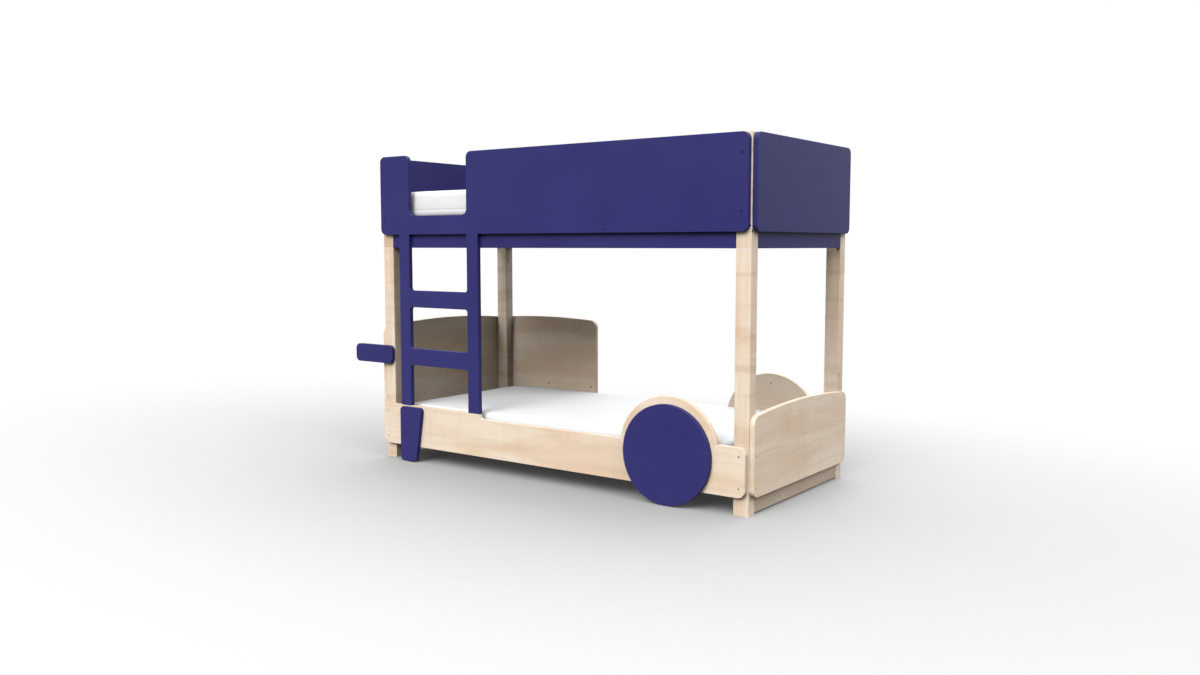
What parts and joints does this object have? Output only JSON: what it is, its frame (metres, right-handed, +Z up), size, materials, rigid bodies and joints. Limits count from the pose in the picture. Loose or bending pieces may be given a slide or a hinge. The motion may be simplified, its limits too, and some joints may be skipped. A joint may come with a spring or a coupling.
{
  "type": "bunk bed",
  "caption": "Low wooden bunk bed styled like a bus: purple guard panels, wheel discs with arches, a side mirror plate, a ladder at one end and white mattresses.",
  "frame": {"origin": "on the floor under the middle of the overall box, which includes the side mirror plate at the left and the wheel discs front and back", "axes": "+X along the bed towards the wheel end, +Y from the ladder side to the back, +Z up"},
  "size_m": [2.379, 1.028, 1.566],
  "materials": {
    "pale_wood": "clear satin lacquer on pale wood",
    "purple_lacquer": "matt opaque dark purple paint",
    "slat_wood": "plain planed wood",
    "dowel_wood": "raw fluted beech",
    "mattress_cover": "white woven cover over foam",
    "steel": "dark zinc"
  },
  "bodies": {
    "frame": {"back_guard_barrels": "steel", "back_guard_board": "pale_wood", "back_guard_pins": "steel", "back_side_board": "pale_wood", "back_wheel_arch": "pale_wood", "back_wheel_disc": "purple_lacquer", "barrel_nuts": "steel", "base_rail_dowels": "dowel_wood", "base_rail_left": "pale_wood", "base_rail_right": "pale_wood", "end_rail_bolts": "steel", "footboard": "pale_wood", "front_side_board": "pale_wood", "front_wheel_arch": "pale_wood", "front_wheel_disc": "purple_lacquer", "guard_panel_back": "purple_lacquer", "guard_panel_front": "purple_lacquer", "guard_panel_left": "purple_lacquer", "guard_panel_right": "purple_lacquer", "guard_panel_screws": "steel", "headboard": "pale_wood", "ladder_board": "purple_lacquer", "ladder_screws": "steel", "lower_board_screws": "steel", "lower_ledger_back": "slat_wood", "lower_ledger_front": "slat_wood", "lower_ledger_screws": "steel", "lower_post_back_left": "pale_wood", "lower_post_back_right": "pale_wood", "lower_post_front_left": "pale_wood", "lower_post_front_right": "pale_wood", "lower_slat_screws": "steel", "lower_slats": "slat_wood", "panel_rail_screws": "steel", "post_dowels": "dowel_wood", "side_board_dowels": "dowel_wood", "side_mirror_plate": "purple_lacquer", "side_mirror_screws": "steel", "side_rail_bolts": "steel", "tapered_plate": "purple_lacquer", "tapered_plate_screws": "steel", "upper_end_rail_left": "purple_lacquer", "upper_end_rail_right": "purple_lacquer", "upper_ledger_back": "slat_wood", "upper_ledger_front": "slat_wood", "upper_ledger_screws": "steel", "upper_post_back_left": "pale_wood", "upper_post_back_right": "pale_wood", "upper_post_front_left": "pale_wood", "upper_post_front_right": "pale_wood", "upper_rail_back": "purple_lacquer", "upper_rail_dowels": "dowel_wood", "upper_rail_front": "purple_lacquer", "upper_slat_screws": "steel", "upper_slats": "slat_wood", "wheel_screws": "steel"},
    "lower_mattress": {"lower_mattress": "mattress_cover"},
    "upper_mattress": {"upper_mattress": "mattress_cover"}
  },
  "joints": [
    {"name": "lower_mattress_lift", "type": "slide", "parent": "frame", "child": "lower_mattress", "axis": [0, 0, 1], "range_m": [0, 0.79]},
    {"name": "upper_mattress_lift", "type": "slide", "parent": "frame", "child": "upper_mattress", "axis": [0, 0, 1], "range_m": [0, 0.35]}
  ]
}
